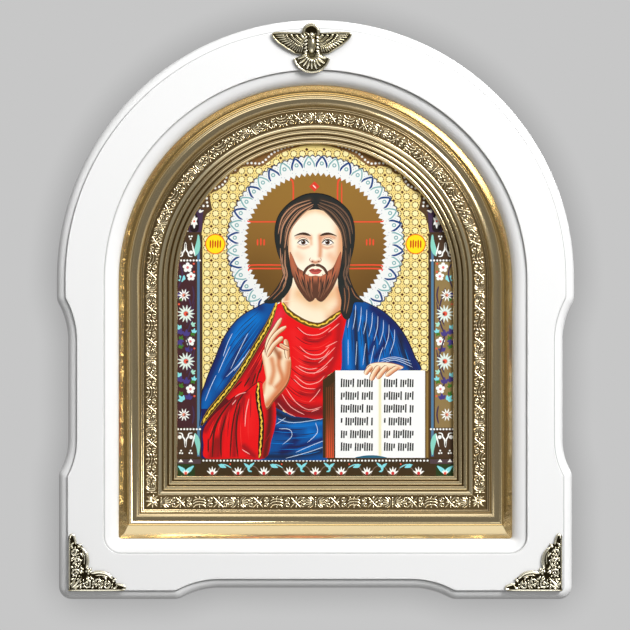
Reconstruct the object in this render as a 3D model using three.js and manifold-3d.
// A printed icon panel in a gilt moulding, set in a white arched frame with cast ornaments.
// Millimetres, +Z up. The picture faces -Y and the back of the frame lies on the plane y = 0.
// The origin is on that back plane, in the middle of the frame's crown, where a wall fixing holds it.

import * as THREE from 'three';
import { mergeVertices } from 'three/addons/utils/BufferGeometryUtils.js';
import Module from 'manifold-3d';

const wasm = await Module();
wasm.setup();

// Driving dimensions of the white frame
const FRAME_DEPTH = 24;
const ARCH_RADIUS = 120;
const ARCH_CENTRE_Z = -107.8;
const FOOT_DROP = 148.5;
const FOOT_HALF_WIDTH = 119;
const WAIST_HALF_WIDTH = 114.7;
const SHOULDER_DROP = 9.7;
const BASE_BLOCK_DROP = 90.2;
const FOOT_LENGTH = 55.5;
const FOOT_RISE = 5.3;
const OGEE_SLOPE = THREE.MathUtils.degToRad(28);
const OGEE_ROUND = 8;
const OGEE_HOLLOW = 36;
const BASE_BLOCK_ROUND = 5;
const BASE_BLOCK_HOLLOW = 30;
const FOOT_CORNER_ROUND = 6;
const BACK_CHAMFER = 0.6;
const OUTER_ROUND_WIDTH = 4.2;
const OUTER_ROUND_DEPTH = 4.4;
const QUIRK_DEPTH = 1.5;
const QUIRK_WIDTH = 0.4;

// The opening for the gilt moulding, its rounded lip and the rebate behind the lip
const OPENING_HALF_WIDTH = 91.4;
const OPENING_ARCH_DROP = 1.2;
const OPENING_DROP = 120.6;
const OPENING_CORNER_ROUND = 1.5;
const LIP_ROUND_WIDTH = 6.6;
const LIP_ROUND_DEPTH = 5.3;
const LIP_THICKNESS = 1;
const REBATE_WIDTH = 6;

// The gilt moulding and the board behind it
const FIT_GAP = 0.3;
const FLANGE_WIDTH = 3.4;
const FLANGE_THICKNESS = 1.6;
const BOTTOM_WALL_EXTRA = 1.8;
const BOARD_THICKNESS = 3;
const BOARD_MARGIN = 3.4;

// The cast ornaments
const DOVE_CENTRE_X = -2;
const DOVE_RISE = 108.3;
const CORNER_LEG = 26.4;
const CORNER_EDGE_X = 114.2;
const CORNER_EDGE_DROP = 144.4;
const CORNER_PLATE = 1.3;

// How finely round stretches are divided
const OUTER_ARCH_STEPS = 52;
const OPENING_ARCH_STEPS = 44;
const CORNER_STEPS = 4;
const ROUND_STEPS = 4;

// Points closer than this are one point; what lies behind a flat back is cut by a block of this size
const WELD_DISTANCE = 1e-4;
const CUTTING_BLOCK = 400;

const FRONT_Y = -FRAME_DEPTH;
const FOOT_Z = ARCH_CENTRE_Z - FOOT_DROP;
const OPENING_ARCH_Z = ARCH_CENTRE_Z - OPENING_ARCH_DROP;
const OPENING_Z = ARCH_CENTRE_Z - OPENING_DROP;
const LIP_BACK_DEPTH = QUIRK_DEPTH + LIP_ROUND_DEPTH + LIP_THICKNESS;
const LIP_TOTAL_WIDTH = LIP_ROUND_WIDTH + QUIRK_WIDTH;

// Outlines: each point of an outline carries its outward normal, so that parallel outlines share its points

function outlinePoint(x, z, nx, nz) {
  return { x, z, nx, nz };
}

// The arc that rounds a corner between two straight edges
function roundCorner(before, corner, after, steps) {
  const arrive = new THREE.Vector2(corner.x - before.x, corner.z - before.z).normalize();
  const leave = new THREE.Vector2(after.x - corner.x, after.z - corner.z).normalize();
  const turn = Math.atan2(arrive.cross(leave), arrive.dot(leave));
  const side = Math.sign(turn);
  const tangent = corner.round * Math.tan(Math.abs(turn) / 2);
  const startX = corner.x - arrive.x * tangent;
  const startZ = corner.z - arrive.y * tangent;
  const centreX = startX - arrive.y * side * corner.round;
  const centreZ = startZ + arrive.x * side * corner.round;
  const points = [];
  for (let i = 0; i <= steps; i += 1) {
    const angle = Math.atan2(arrive.y, arrive.x) - Math.PI / 2 + (turn * i) / steps;
    const nx = Math.cos(angle);
    const nz = Math.sin(angle);
    points.push(outlinePoint(centreX + nx * side * corner.round, centreZ + nz * side * corner.round, nx, nz));
  }
  return points;
}

function archPoints(radius, centreZ, steps) {
  const points = [];
  for (let i = 0; i <= steps; i += 1) {
    const angle = (Math.PI * i) / steps;
    const nx = Math.cos(angle);
    const nz = Math.sin(angle);
    points.push(outlinePoint(radius * nx, centreZ + radius * nz, nx, nz));
  }
  return points;
}

// A closed outline, anticlockwise from the front: right side from its rounded corners, arch, mirrored left side
function archedOutline(corners, radius, centreZ, archSteps) {
  const right = [];
  for (let i = 1; i < corners.length - 1; i += 1) {
    right.push(...roundCorner(corners[i - 1], corners[i], corners[i + 1], CORNER_STEPS));
  }
  const left = right.map((p) => outlinePoint(-p.x, p.z, -p.nx, p.nz)).reverse();
  return [...right, ...archPoints(radius, centreZ, archSteps), ...left];
}

// Solids: rings of points joined by bands

function ringAt(outline, inset, depth) {
  const y = FRONT_Y + depth;
  return outline.map((p) => new THREE.Vector3(p.x - p.nx * inset, y, p.z - p.nz * inset));
}

function addTriangle(positions, a, b, c) {
  positions.push(a.x, a.y, a.z, b.x, b.y, b.z, c.x, c.y, c.z);
}

function addBand(positions, from, to) {
  for (let i = 0; i < from.length; i += 1) {
    const next = (i + 1) % from.length;
    addTriangle(positions, from[i], from[next], to[next]);
    addTriangle(positions, from[i], to[next], to[i]);
  }
}

function addFlatRing(positions, outer, inner, facesFront) {
  const flatten = (ring) => ring.map((p) => new THREE.Vector2(p.x, p.z));
  const all = [...outer, ...inner];
  for (const [i, j, k] of THREE.ShapeUtils.triangulateShape(flatten(outer), [flatten(inner)])) {
    const ab = new THREE.Vector2(all[j].x - all[i].x, all[j].z - all[i].z);
    const ac = new THREE.Vector2(all[k].x - all[i].x, all[k].z - all[i].z);
    const isFront = ab.cross(ac) > 0;
    if (isFront === facesFront) {
      addTriangle(positions, all[i], all[j], all[k]);
    } else {
      addTriangle(positions, all[i], all[k], all[j]);
    }
  }
}

function geometryFrom(positions) {
  const geometry = new THREE.BufferGeometry();
  geometry.setAttribute('position', new THREE.Float32BufferAttribute(positions, 3));
  return mergeVertices(geometry, WELD_DISTANCE);
}

// Stations of a quarter ellipse that starts steep at the edge and ends level with the face
function quarterRound(width, depth, startDepth) {
  const stations = [];
  for (let i = 0; i <= ROUND_STEPS; i += 1) {
    const angle = (Math.PI / 2) * (i / ROUND_STEPS);
    stations.push([width * (1 - Math.cos(angle)), startDepth - depth * Math.sin(angle)]);
  }
  return stations;
}

function whiteFrameGeometry() {
  const slopeRun = 1 / Math.tan(OGEE_SLOPE);
  const shoulderZ = ARCH_CENTRE_Z - SHOULDER_DROP;
  const waistTopZ = shoulderZ - (ARCH_RADIUS - WAIST_HALF_WIDTH) * slopeRun;
  const blockZ = ARCH_CENTRE_Z - BASE_BLOCK_DROP;
  const waistBottomZ = blockZ + (FOOT_HALF_WIDTH - WAIST_HALF_WIDTH) * slopeRun;
  const footEndX = FOOT_HALF_WIDTH - FOOT_LENGTH;
  const outer = archedOutline(
    [
      { x: 0, z: FOOT_Z + FOOT_RISE },
      { x: footEndX - FOOT_RISE * slopeRun, z: FOOT_Z + FOOT_RISE, round: OGEE_HOLLOW },
      { x: footEndX, z: FOOT_Z, round: OGEE_ROUND },
      { x: FOOT_HALF_WIDTH, z: FOOT_Z, round: FOOT_CORNER_ROUND },
      { x: FOOT_HALF_WIDTH, z: blockZ, round: BASE_BLOCK_ROUND },
      { x: WAIST_HALF_WIDTH, z: waistBottomZ, round: BASE_BLOCK_HOLLOW },
      { x: WAIST_HALF_WIDTH, z: waistTopZ, round: OGEE_HOLLOW },
      { x: ARCH_RADIUS, z: shoulderZ, round: OGEE_ROUND },
      { x: ARCH_RADIUS, z: ARCH_CENTRE_Z },
    ],
    ARCH_RADIUS,
    ARCH_CENTRE_Z,
    OUTER_ARCH_STEPS,
  );
  const opening = archedOutline(
    [
      { x: 0, z: OPENING_Z },
      { x: OPENING_HALF_WIDTH, z: OPENING_Z, round: OPENING_CORNER_ROUND },
      { x: OPENING_HALF_WIDTH, z: OPENING_ARCH_Z },
    ],
    OPENING_HALF_WIDTH,
    OPENING_ARCH_Z,
    OPENING_ARCH_STEPS,
  );

  const outerRings = [
    [BACK_CHAMFER, FRAME_DEPTH],
    [0, FRAME_DEPTH - BACK_CHAMFER],
    ...quarterRound(OUTER_ROUND_WIDTH, OUTER_ROUND_DEPTH, QUIRK_DEPTH + OUTER_ROUND_DEPTH),
    [OUTER_ROUND_WIDTH + QUIRK_WIDTH, 0],
  ].map(([inset, depth]) => ringAt(outer, inset, depth));
  const lipRound = quarterRound(LIP_ROUND_WIDTH, LIP_ROUND_DEPTH, QUIRK_DEPTH + LIP_ROUND_DEPTH).reverse();
  const innerRings = [
    [LIP_TOTAL_WIDTH, 0],
    ...lipRound,
    [0, LIP_BACK_DEPTH],
    [REBATE_WIDTH, LIP_BACK_DEPTH],
    [REBATE_WIDTH, FRAME_DEPTH],
  ].map(([outset, depth]) => ringAt(opening, -outset, depth));

  const positions = [];
  for (const rings of [outerRings, innerRings]) {
    for (let i = 1; i < rings.length; i += 1) {
      addBand(positions, rings[i - 1], rings[i]);
    }
  }
  addFlatRing(positions, outerRings.at(-1), innerRings[0], true);
  addFlatRing(positions, outerRings[0], innerRings.at(-1), false);
  return geometryFrom(positions);
}

// The moulding's section, from the flange behind the lip to the sight edge at the picture:
// inset from the opening's edge and depth behind the white face
const FLANGE_DEPTH = LIP_BACK_DEPTH + FIT_GAP;
const WALL = { foot: 4.1, depth: 12.8 };
const BEAD = { width: 1.2, height: 0.65 };
const COVE = { end: 10.2, sag: 0.5, rimDepth: 11.9 };
const FILLET = { width: 1.4, depth: 11.5, rise: 0.2 };
const SCROLL_BAND = { start: 12, end: 18, depth: 11.9, crown: 0.4 };
const STRIP = { foot: 18.3, footDepth: 11.6, crest: 19.2, end: 20.3, depth: 11.5, drop: 0.6 };
const RIB = { count: 3, pitch: 2.3, round: 0.45, stepDown: 0.7, groove: 0.1 };
const SIGHT_INSET = STRIP.end + RIB.count * RIB.pitch;
const MOULDING_BACK_DEPTH = 15.6;
const BEHIND_BEAD = 5.6;
const BEHIND_WALL = { inset: 3.1, depth: 13.4 };

function mouldingSection() {
  const section = [
    [-FLANGE_WIDTH, FLANGE_DEPTH],
    [FIT_GAP, FLANGE_DEPTH],
    [WALL.foot, WALL.depth],
  ];
  for (const t of [0.2, 0.5, 0.8, 1]) {
    const height = BEAD.height * Math.sin(Math.PI * t);
    section.push([WALL.foot + BEAD.width * t, WALL.depth - height]);
  }
  const coveStart = WALL.foot + BEAD.width;
  for (const t of [0.35, 0.7, 1]) {
    const level = THREE.MathUtils.lerp(WALL.depth, COVE.rimDepth, t * t);
    section.push([THREE.MathUtils.lerp(coveStart, COVE.end, t), level + COVE.sag * Math.sin(Math.PI * t)]);
  }
  section.push([COVE.end + FILLET.rise, FILLET.depth]);
  section.push([COVE.end + FILLET.width, FILLET.depth]);
  for (const t of [0, 0.5, 1]) {
    const inset = THREE.MathUtils.lerp(SCROLL_BAND.start, SCROLL_BAND.end, t);
    section.push([inset, SCROLL_BAND.depth - SCROLL_BAND.crown * Math.sin(Math.PI * t)]);
  }
  section.push([STRIP.foot, STRIP.footDepth]);
  section.push([STRIP.crest, STRIP.depth]);
  section.push([STRIP.end - RIB.groove, STRIP.depth + STRIP.drop]);
  for (let rib = 0; rib < RIB.count; rib += 1) {
    const start = STRIP.end + rib * RIB.pitch;
    const depth = STRIP.depth + STRIP.drop + (rib + 1) * RIB.stepDown;
    section.push([start + RIB.groove, depth]);
    section.push([start + RIB.pitch / 2, depth - RIB.round]);
    section.push([start + RIB.pitch - RIB.groove, depth]);
  }
  section.push([SIGHT_INSET, MOULDING_BACK_DEPTH]);
  section.push([BEHIND_BEAD, MOULDING_BACK_DEPTH]);
  section.push([BEHIND_WALL.inset, BEHIND_WALL.depth]);
  section.push([FIT_GAP, FLANGE_DEPTH + FLANGE_THICKNESS]);
  section.push([-FLANGE_WIDTH, FLANGE_DEPTH + FLANGE_THICKNESS]);
  return section;
}

// An arch on straight legs with square, mitred bottom corners
function mitredRing(inset, depth) {
  const y = FRONT_Y + depth;
  const halfWidth = OPENING_HALF_WIDTH - inset;
  const wallShare = THREE.MathUtils.clamp(inset / WALL.foot, 0, 1);
  const bottomZ = OPENING_Z + inset + BOTTOM_WALL_EXTRA * wallShare;
  const arch = archPoints(halfWidth, OPENING_ARCH_Z, OPENING_ARCH_STEPS);
  return [
    new THREE.Vector3(-halfWidth, y, bottomZ),
    new THREE.Vector3(halfWidth, y, bottomZ),
    ...arch.map((p) => new THREE.Vector3(p.x, y, p.z)),
  ];
}

function giltFrameGeometry() {
  const rings = mouldingSection().map(([inset, depth]) => mitredRing(inset, depth));
  const positions = [];
  for (let i = 0; i < rings.length; i += 1) {
    addBand(positions, rings[i], rings[(i + 1) % rings.length]);
  }
  return geometryFrom(positions);
}

function archedBoardShape(halfWidth, bottomZ) {
  const shape = new THREE.Shape();
  shape.moveTo(-halfWidth, bottomZ);
  shape.lineTo(halfWidth, bottomZ);
  shape.lineTo(halfWidth, OPENING_ARCH_Z);
  shape.absarc(0, OPENING_ARCH_Z, halfWidth, 0, Math.PI, false);
  return shape;
}

function iconPanelGeometry() {
  const shape = archedBoardShape(OPENING_HALF_WIDTH + BOARD_MARGIN, OPENING_Z - BOARD_MARGIN);
  const board = new THREE.ExtrudeGeometry(shape, {
    depth: BOARD_THICKNESS,
    bevelEnabled: false,
    curveSegments: OPENING_ARCH_STEPS,
  });
  board.rotateX(Math.PI / 2);
  board.translate(0, FRONT_Y + MOULDING_BACK_DEPTH + FIT_GAP + BOARD_THICKNESS, 0);
  return board;
}

// Joining closed shapes into one solid

function solidOf(geometry) {
  const bare = geometry.clone();
  bare.deleteAttribute('normal');
  bare.deleteAttribute('uv');
  const merged = mergeVertices(bare, WELD_DISTANCE);
  return new wasm.Manifold(
    new wasm.Mesh({
      numProp: 3,
      vertProperties: new Float32Array(merged.attributes.position.array),
      triVerts: new Uint32Array(merged.index.array),
    }),
  );
}

function joined(geometries) {
  return geometries.map(solidOf).reduce((whole, next) => whole.add(next));
}

function geometryOfSolid(solid) {
  const mesh = solid.getMesh();
  const geometry = new THREE.BufferGeometry();
  const positions = [];
  for (let i = 0; i < mesh.vertProperties.length; i += mesh.numProp) {
    positions.push(...mesh.vertProperties.slice(i, i + 3));
  }
  geometry.setAttribute('position', new THREE.Float32BufferAttribute(positions, 3));
  geometry.setIndex(Array.from(mesh.triVerts));
  return geometry;
}

// What stands behind the ornament's flat back is cut away
function flatBacked(solid) {
  const behind = new THREE.BoxGeometry(CUTTING_BLOCK, CUTTING_BLOCK, CUTTING_BLOCK);
  behind.translate(0, CUTTING_BLOCK / 2, 0);
  return solid.subtract(solidOf(behind));
}

// An egg-shaped lobe lying on the plane y = 0, pointing from its root at an angle from +X
function lobe(rootX, rootZ, angle, length, width, height) {
  const geometry = new THREE.SphereGeometry(1, 8, 6);
  geometry.scale(length / 2, height, width / 2);
  geometry.translate(length / 2, 0, 0);
  geometry.rotateY(-angle);
  geometry.translate(rootX, 0, rootZ);
  return geometry;
}

// The ornaments are modelled about their own centre, with their back on y = 0 and their front towards -Y

const WING = { rootX: 2.6, rootZ: 3.2, longest: 15.6, shortest: 7.2, count: 7, width: 2.7, height: 1.5 };
const WING_DROOP = { first: -0.07, last: 0.98 };
const WING_ARM = { rootX: 1.5, rootZ: 4, lift: 0.09, length: 13, width: 3.4, height: 2.4 };
const TAIL = { rootZ: -4, length: 9.2, count: 7, width: 2.9, height: 1.5, spread: 0.95 };
const BODY = { topZ: 4.6, length: 12, width: 6, height: 4 };
const HEAD = { radius: 2.1, forward: 2.6 };
const RING = { radius: 3.8, wire: 0.6, forward: 0.55, centreZ: 5.6 };

function doveWing(side) {
  const outward = (turn) => (side > 0 ? turn : Math.PI - turn);
  const arm = WING_ARM;
  const feathers = [lobe(side * arm.rootX, arm.rootZ, outward(arm.lift), arm.length, arm.width, arm.height)];
  for (let i = 0; i < WING.count; i += 1) {
    const t = i / (WING.count - 1);
    const droop = THREE.MathUtils.lerp(WING_DROOP.first, WING_DROOP.last, t);
    const length = THREE.MathUtils.lerp(WING.longest, WING.shortest, t);
    feathers.push(lobe(side * WING.rootX, WING.rootZ, outward(-droop), length, WING.width, WING.height));
  }
  return feathers;
}

function doveTail() {
  const feathers = [];
  for (let i = 0; i < TAIL.count; i += 1) {
    const spread = THREE.MathUtils.lerp(-TAIL.spread, TAIL.spread, i / (TAIL.count - 1));
    feathers.push(lobe(0, TAIL.rootZ, spread - Math.PI / 2, TAIL.length, TAIL.width, TAIL.height));
  }
  return feathers;
}

function doveGeometry() {
  const body = lobe(0, BODY.topZ, -Math.PI / 2, BODY.length, BODY.width, BODY.height);
  const head = new THREE.SphereGeometry(HEAD.radius, 10, 8);
  head.translate(0, -HEAD.forward, BODY.topZ);
  const ring = new THREE.TorusGeometry(RING.radius, RING.wire, 6, 20);
  ring.rotateX(Math.PI / 2);
  ring.translate(0, -RING.forward, RING.centreZ);
  const pieces = [body, head, ring, ...doveWing(1), ...doveWing(-1), ...doveTail()];
  return geometryOfSolid(flatBacked(joined(pieces)));
}

// A corner plate with two bowed sides, rims along its straight edges and a fan of leaves;
// the square corner is at the local origin and the legs run along +X and +Z
const CORNER_TIP = { width: 2.4, setBack: 1 };
const SCROLL = { width: 5, along: 20.6, lead: 1 };
const BOW = { inner: 9, reach: 3, bulge: 5 };
const RIM = { width: 1.3, height: 2.1, margin: 0.2 };
const LEAF = { root: 2.2, width: 3.2, height: 2.3, shortest: 11, longest: 19 };
const LEAF_TURNS = [0.1, 0.45, Math.PI / 4, Math.PI / 2 - 0.45, Math.PI / 2 - 0.1];
const KNOB = { radius: 1.7, forward: 1, middle: 9.6, sunk: 1.6 };

function cornerPlateShape() {
  const tipAlong = CORNER_LEG - CORNER_TIP.setBack;
  const shape = new THREE.Shape();
  shape.moveTo(0, 0);
  shape.lineTo(CORNER_LEG, 0);
  shape.lineTo(tipAlong, CORNER_TIP.width);
  shape.quadraticCurveTo(SCROLL.along + SCROLL.lead, CORNER_TIP.width, SCROLL.along, SCROLL.width);
  shape.quadraticCurveTo(BOW.inner + BOW.bulge, SCROLL.width, BOW.inner + BOW.reach, BOW.inner);
  shape.lineTo(BOW.inner, BOW.inner + BOW.reach);
  shape.quadraticCurveTo(SCROLL.width, BOW.inner + BOW.bulge, SCROLL.width, SCROLL.along);
  shape.quadraticCurveTo(CORNER_TIP.width, SCROLL.along + SCROLL.lead, CORNER_TIP.width, tipAlong);
  shape.lineTo(0, CORNER_LEG);
  shape.closePath();
  return shape;
}

function cornerGeometry() {
  const plate = new THREE.ExtrudeGeometry(cornerPlateShape(), {
    depth: CORNER_PLATE,
    bevelEnabled: false,
    curveSegments: 5,
  });
  plate.rotateX(Math.PI / 2);
  const rimLength = CORNER_LEG - CORNER_TIP.setBack;
  const rimMiddle = rimLength / 2 + RIM.margin;
  const rimAcross = RIM.width / 2 + RIM.margin;
  const footRim = new THREE.BoxGeometry(rimLength, RIM.height, RIM.width);
  footRim.translate(rimMiddle, -RIM.height / 2, rimAcross);
  const sideRim = new THREE.BoxGeometry(RIM.width, RIM.height, rimLength);
  sideRim.translate(rimAcross, -RIM.height / 2, rimMiddle);
  const leaves = [];
  for (const turn of LEAF_TURNS) {
    const length = THREE.MathUtils.lerp(LEAF.shortest, LEAF.longest, Math.abs(Math.cos(2 * turn)));
    leaves.push(lobe(LEAF.root, LEAF.root, turn, length, LEAF.width, LEAF.height));
  }
  const scrollAcross = SCROLL.width - KNOB.sunk;
  const knobPlaces = [[SCROLL.along, scrollAcross], [KNOB.middle, KNOB.middle], [scrollAcross, SCROLL.along]];
  for (const [x, z] of knobPlaces) {
    const knob = new THREE.SphereGeometry(KNOB.radius, 8, 6);
    knob.translate(x, -KNOB.forward, z);
    leaves.push(knob);
  }
  return geometryOfSolid(flatBacked(joined([plate, footRim, sideRim, ...leaves])));
}

function mirroredInX(geometry) {
  const mirrored = geometry.clone();
  mirrored.scale(-1, 1, 1);
  const index = mirrored.index.array;
  for (let i = 0; i < index.length; i += 3) {
    [index[i], index[i + 1]] = [index[i + 1], index[i]];
  }
  return mirrored;
}

// Assembly

function namedMesh(name, geometry, color, roughness, metalness) {
  const mesh = new THREE.Mesh(geometry, new THREE.MeshStandardMaterial({ color, roughness, metalness }));
  mesh.name = name;
  return mesh;
}

const icon = new THREE.Group();
icon.add(namedMesh('white_frame', whiteFrameGeometry(), 0xf4f4f2, 0.45, 0));
icon.add(namedMesh('gilt_frame', giltFrameGeometry(), 0xa08850, 0.3, 1));
icon.add(namedMesh('icon_panel', iconPanelGeometry(), 0x8a6a3a, 0.4, 0));

const ornaments = new THREE.Group();
ornaments.position.set(0, FRONT_Y - FIT_GAP, ARCH_CENTRE_Z);
icon.add(ornaments);

const CAST_METAL = [0x8c8468, 0.35, 1];
const dove = namedMesh('dove_ornament', doveGeometry(), ...CAST_METAL);
dove.position.set(DOVE_CENTRE_X, 0, DOVE_RISE);
const corner = cornerGeometry();
const cornerLeft = namedMesh('corner_ornament_left', corner, ...CAST_METAL);
cornerLeft.position.set(-CORNER_EDGE_X, 0, -CORNER_EDGE_DROP);
const cornerRight = namedMesh('corner_ornament_right', mirroredInX(corner), ...CAST_METAL);
cornerRight.position.set(CORNER_EDGE_X, 0, -CORNER_EDGE_DROP);
ornaments.add(dove, cornerLeft, cornerRight);

export default icon;
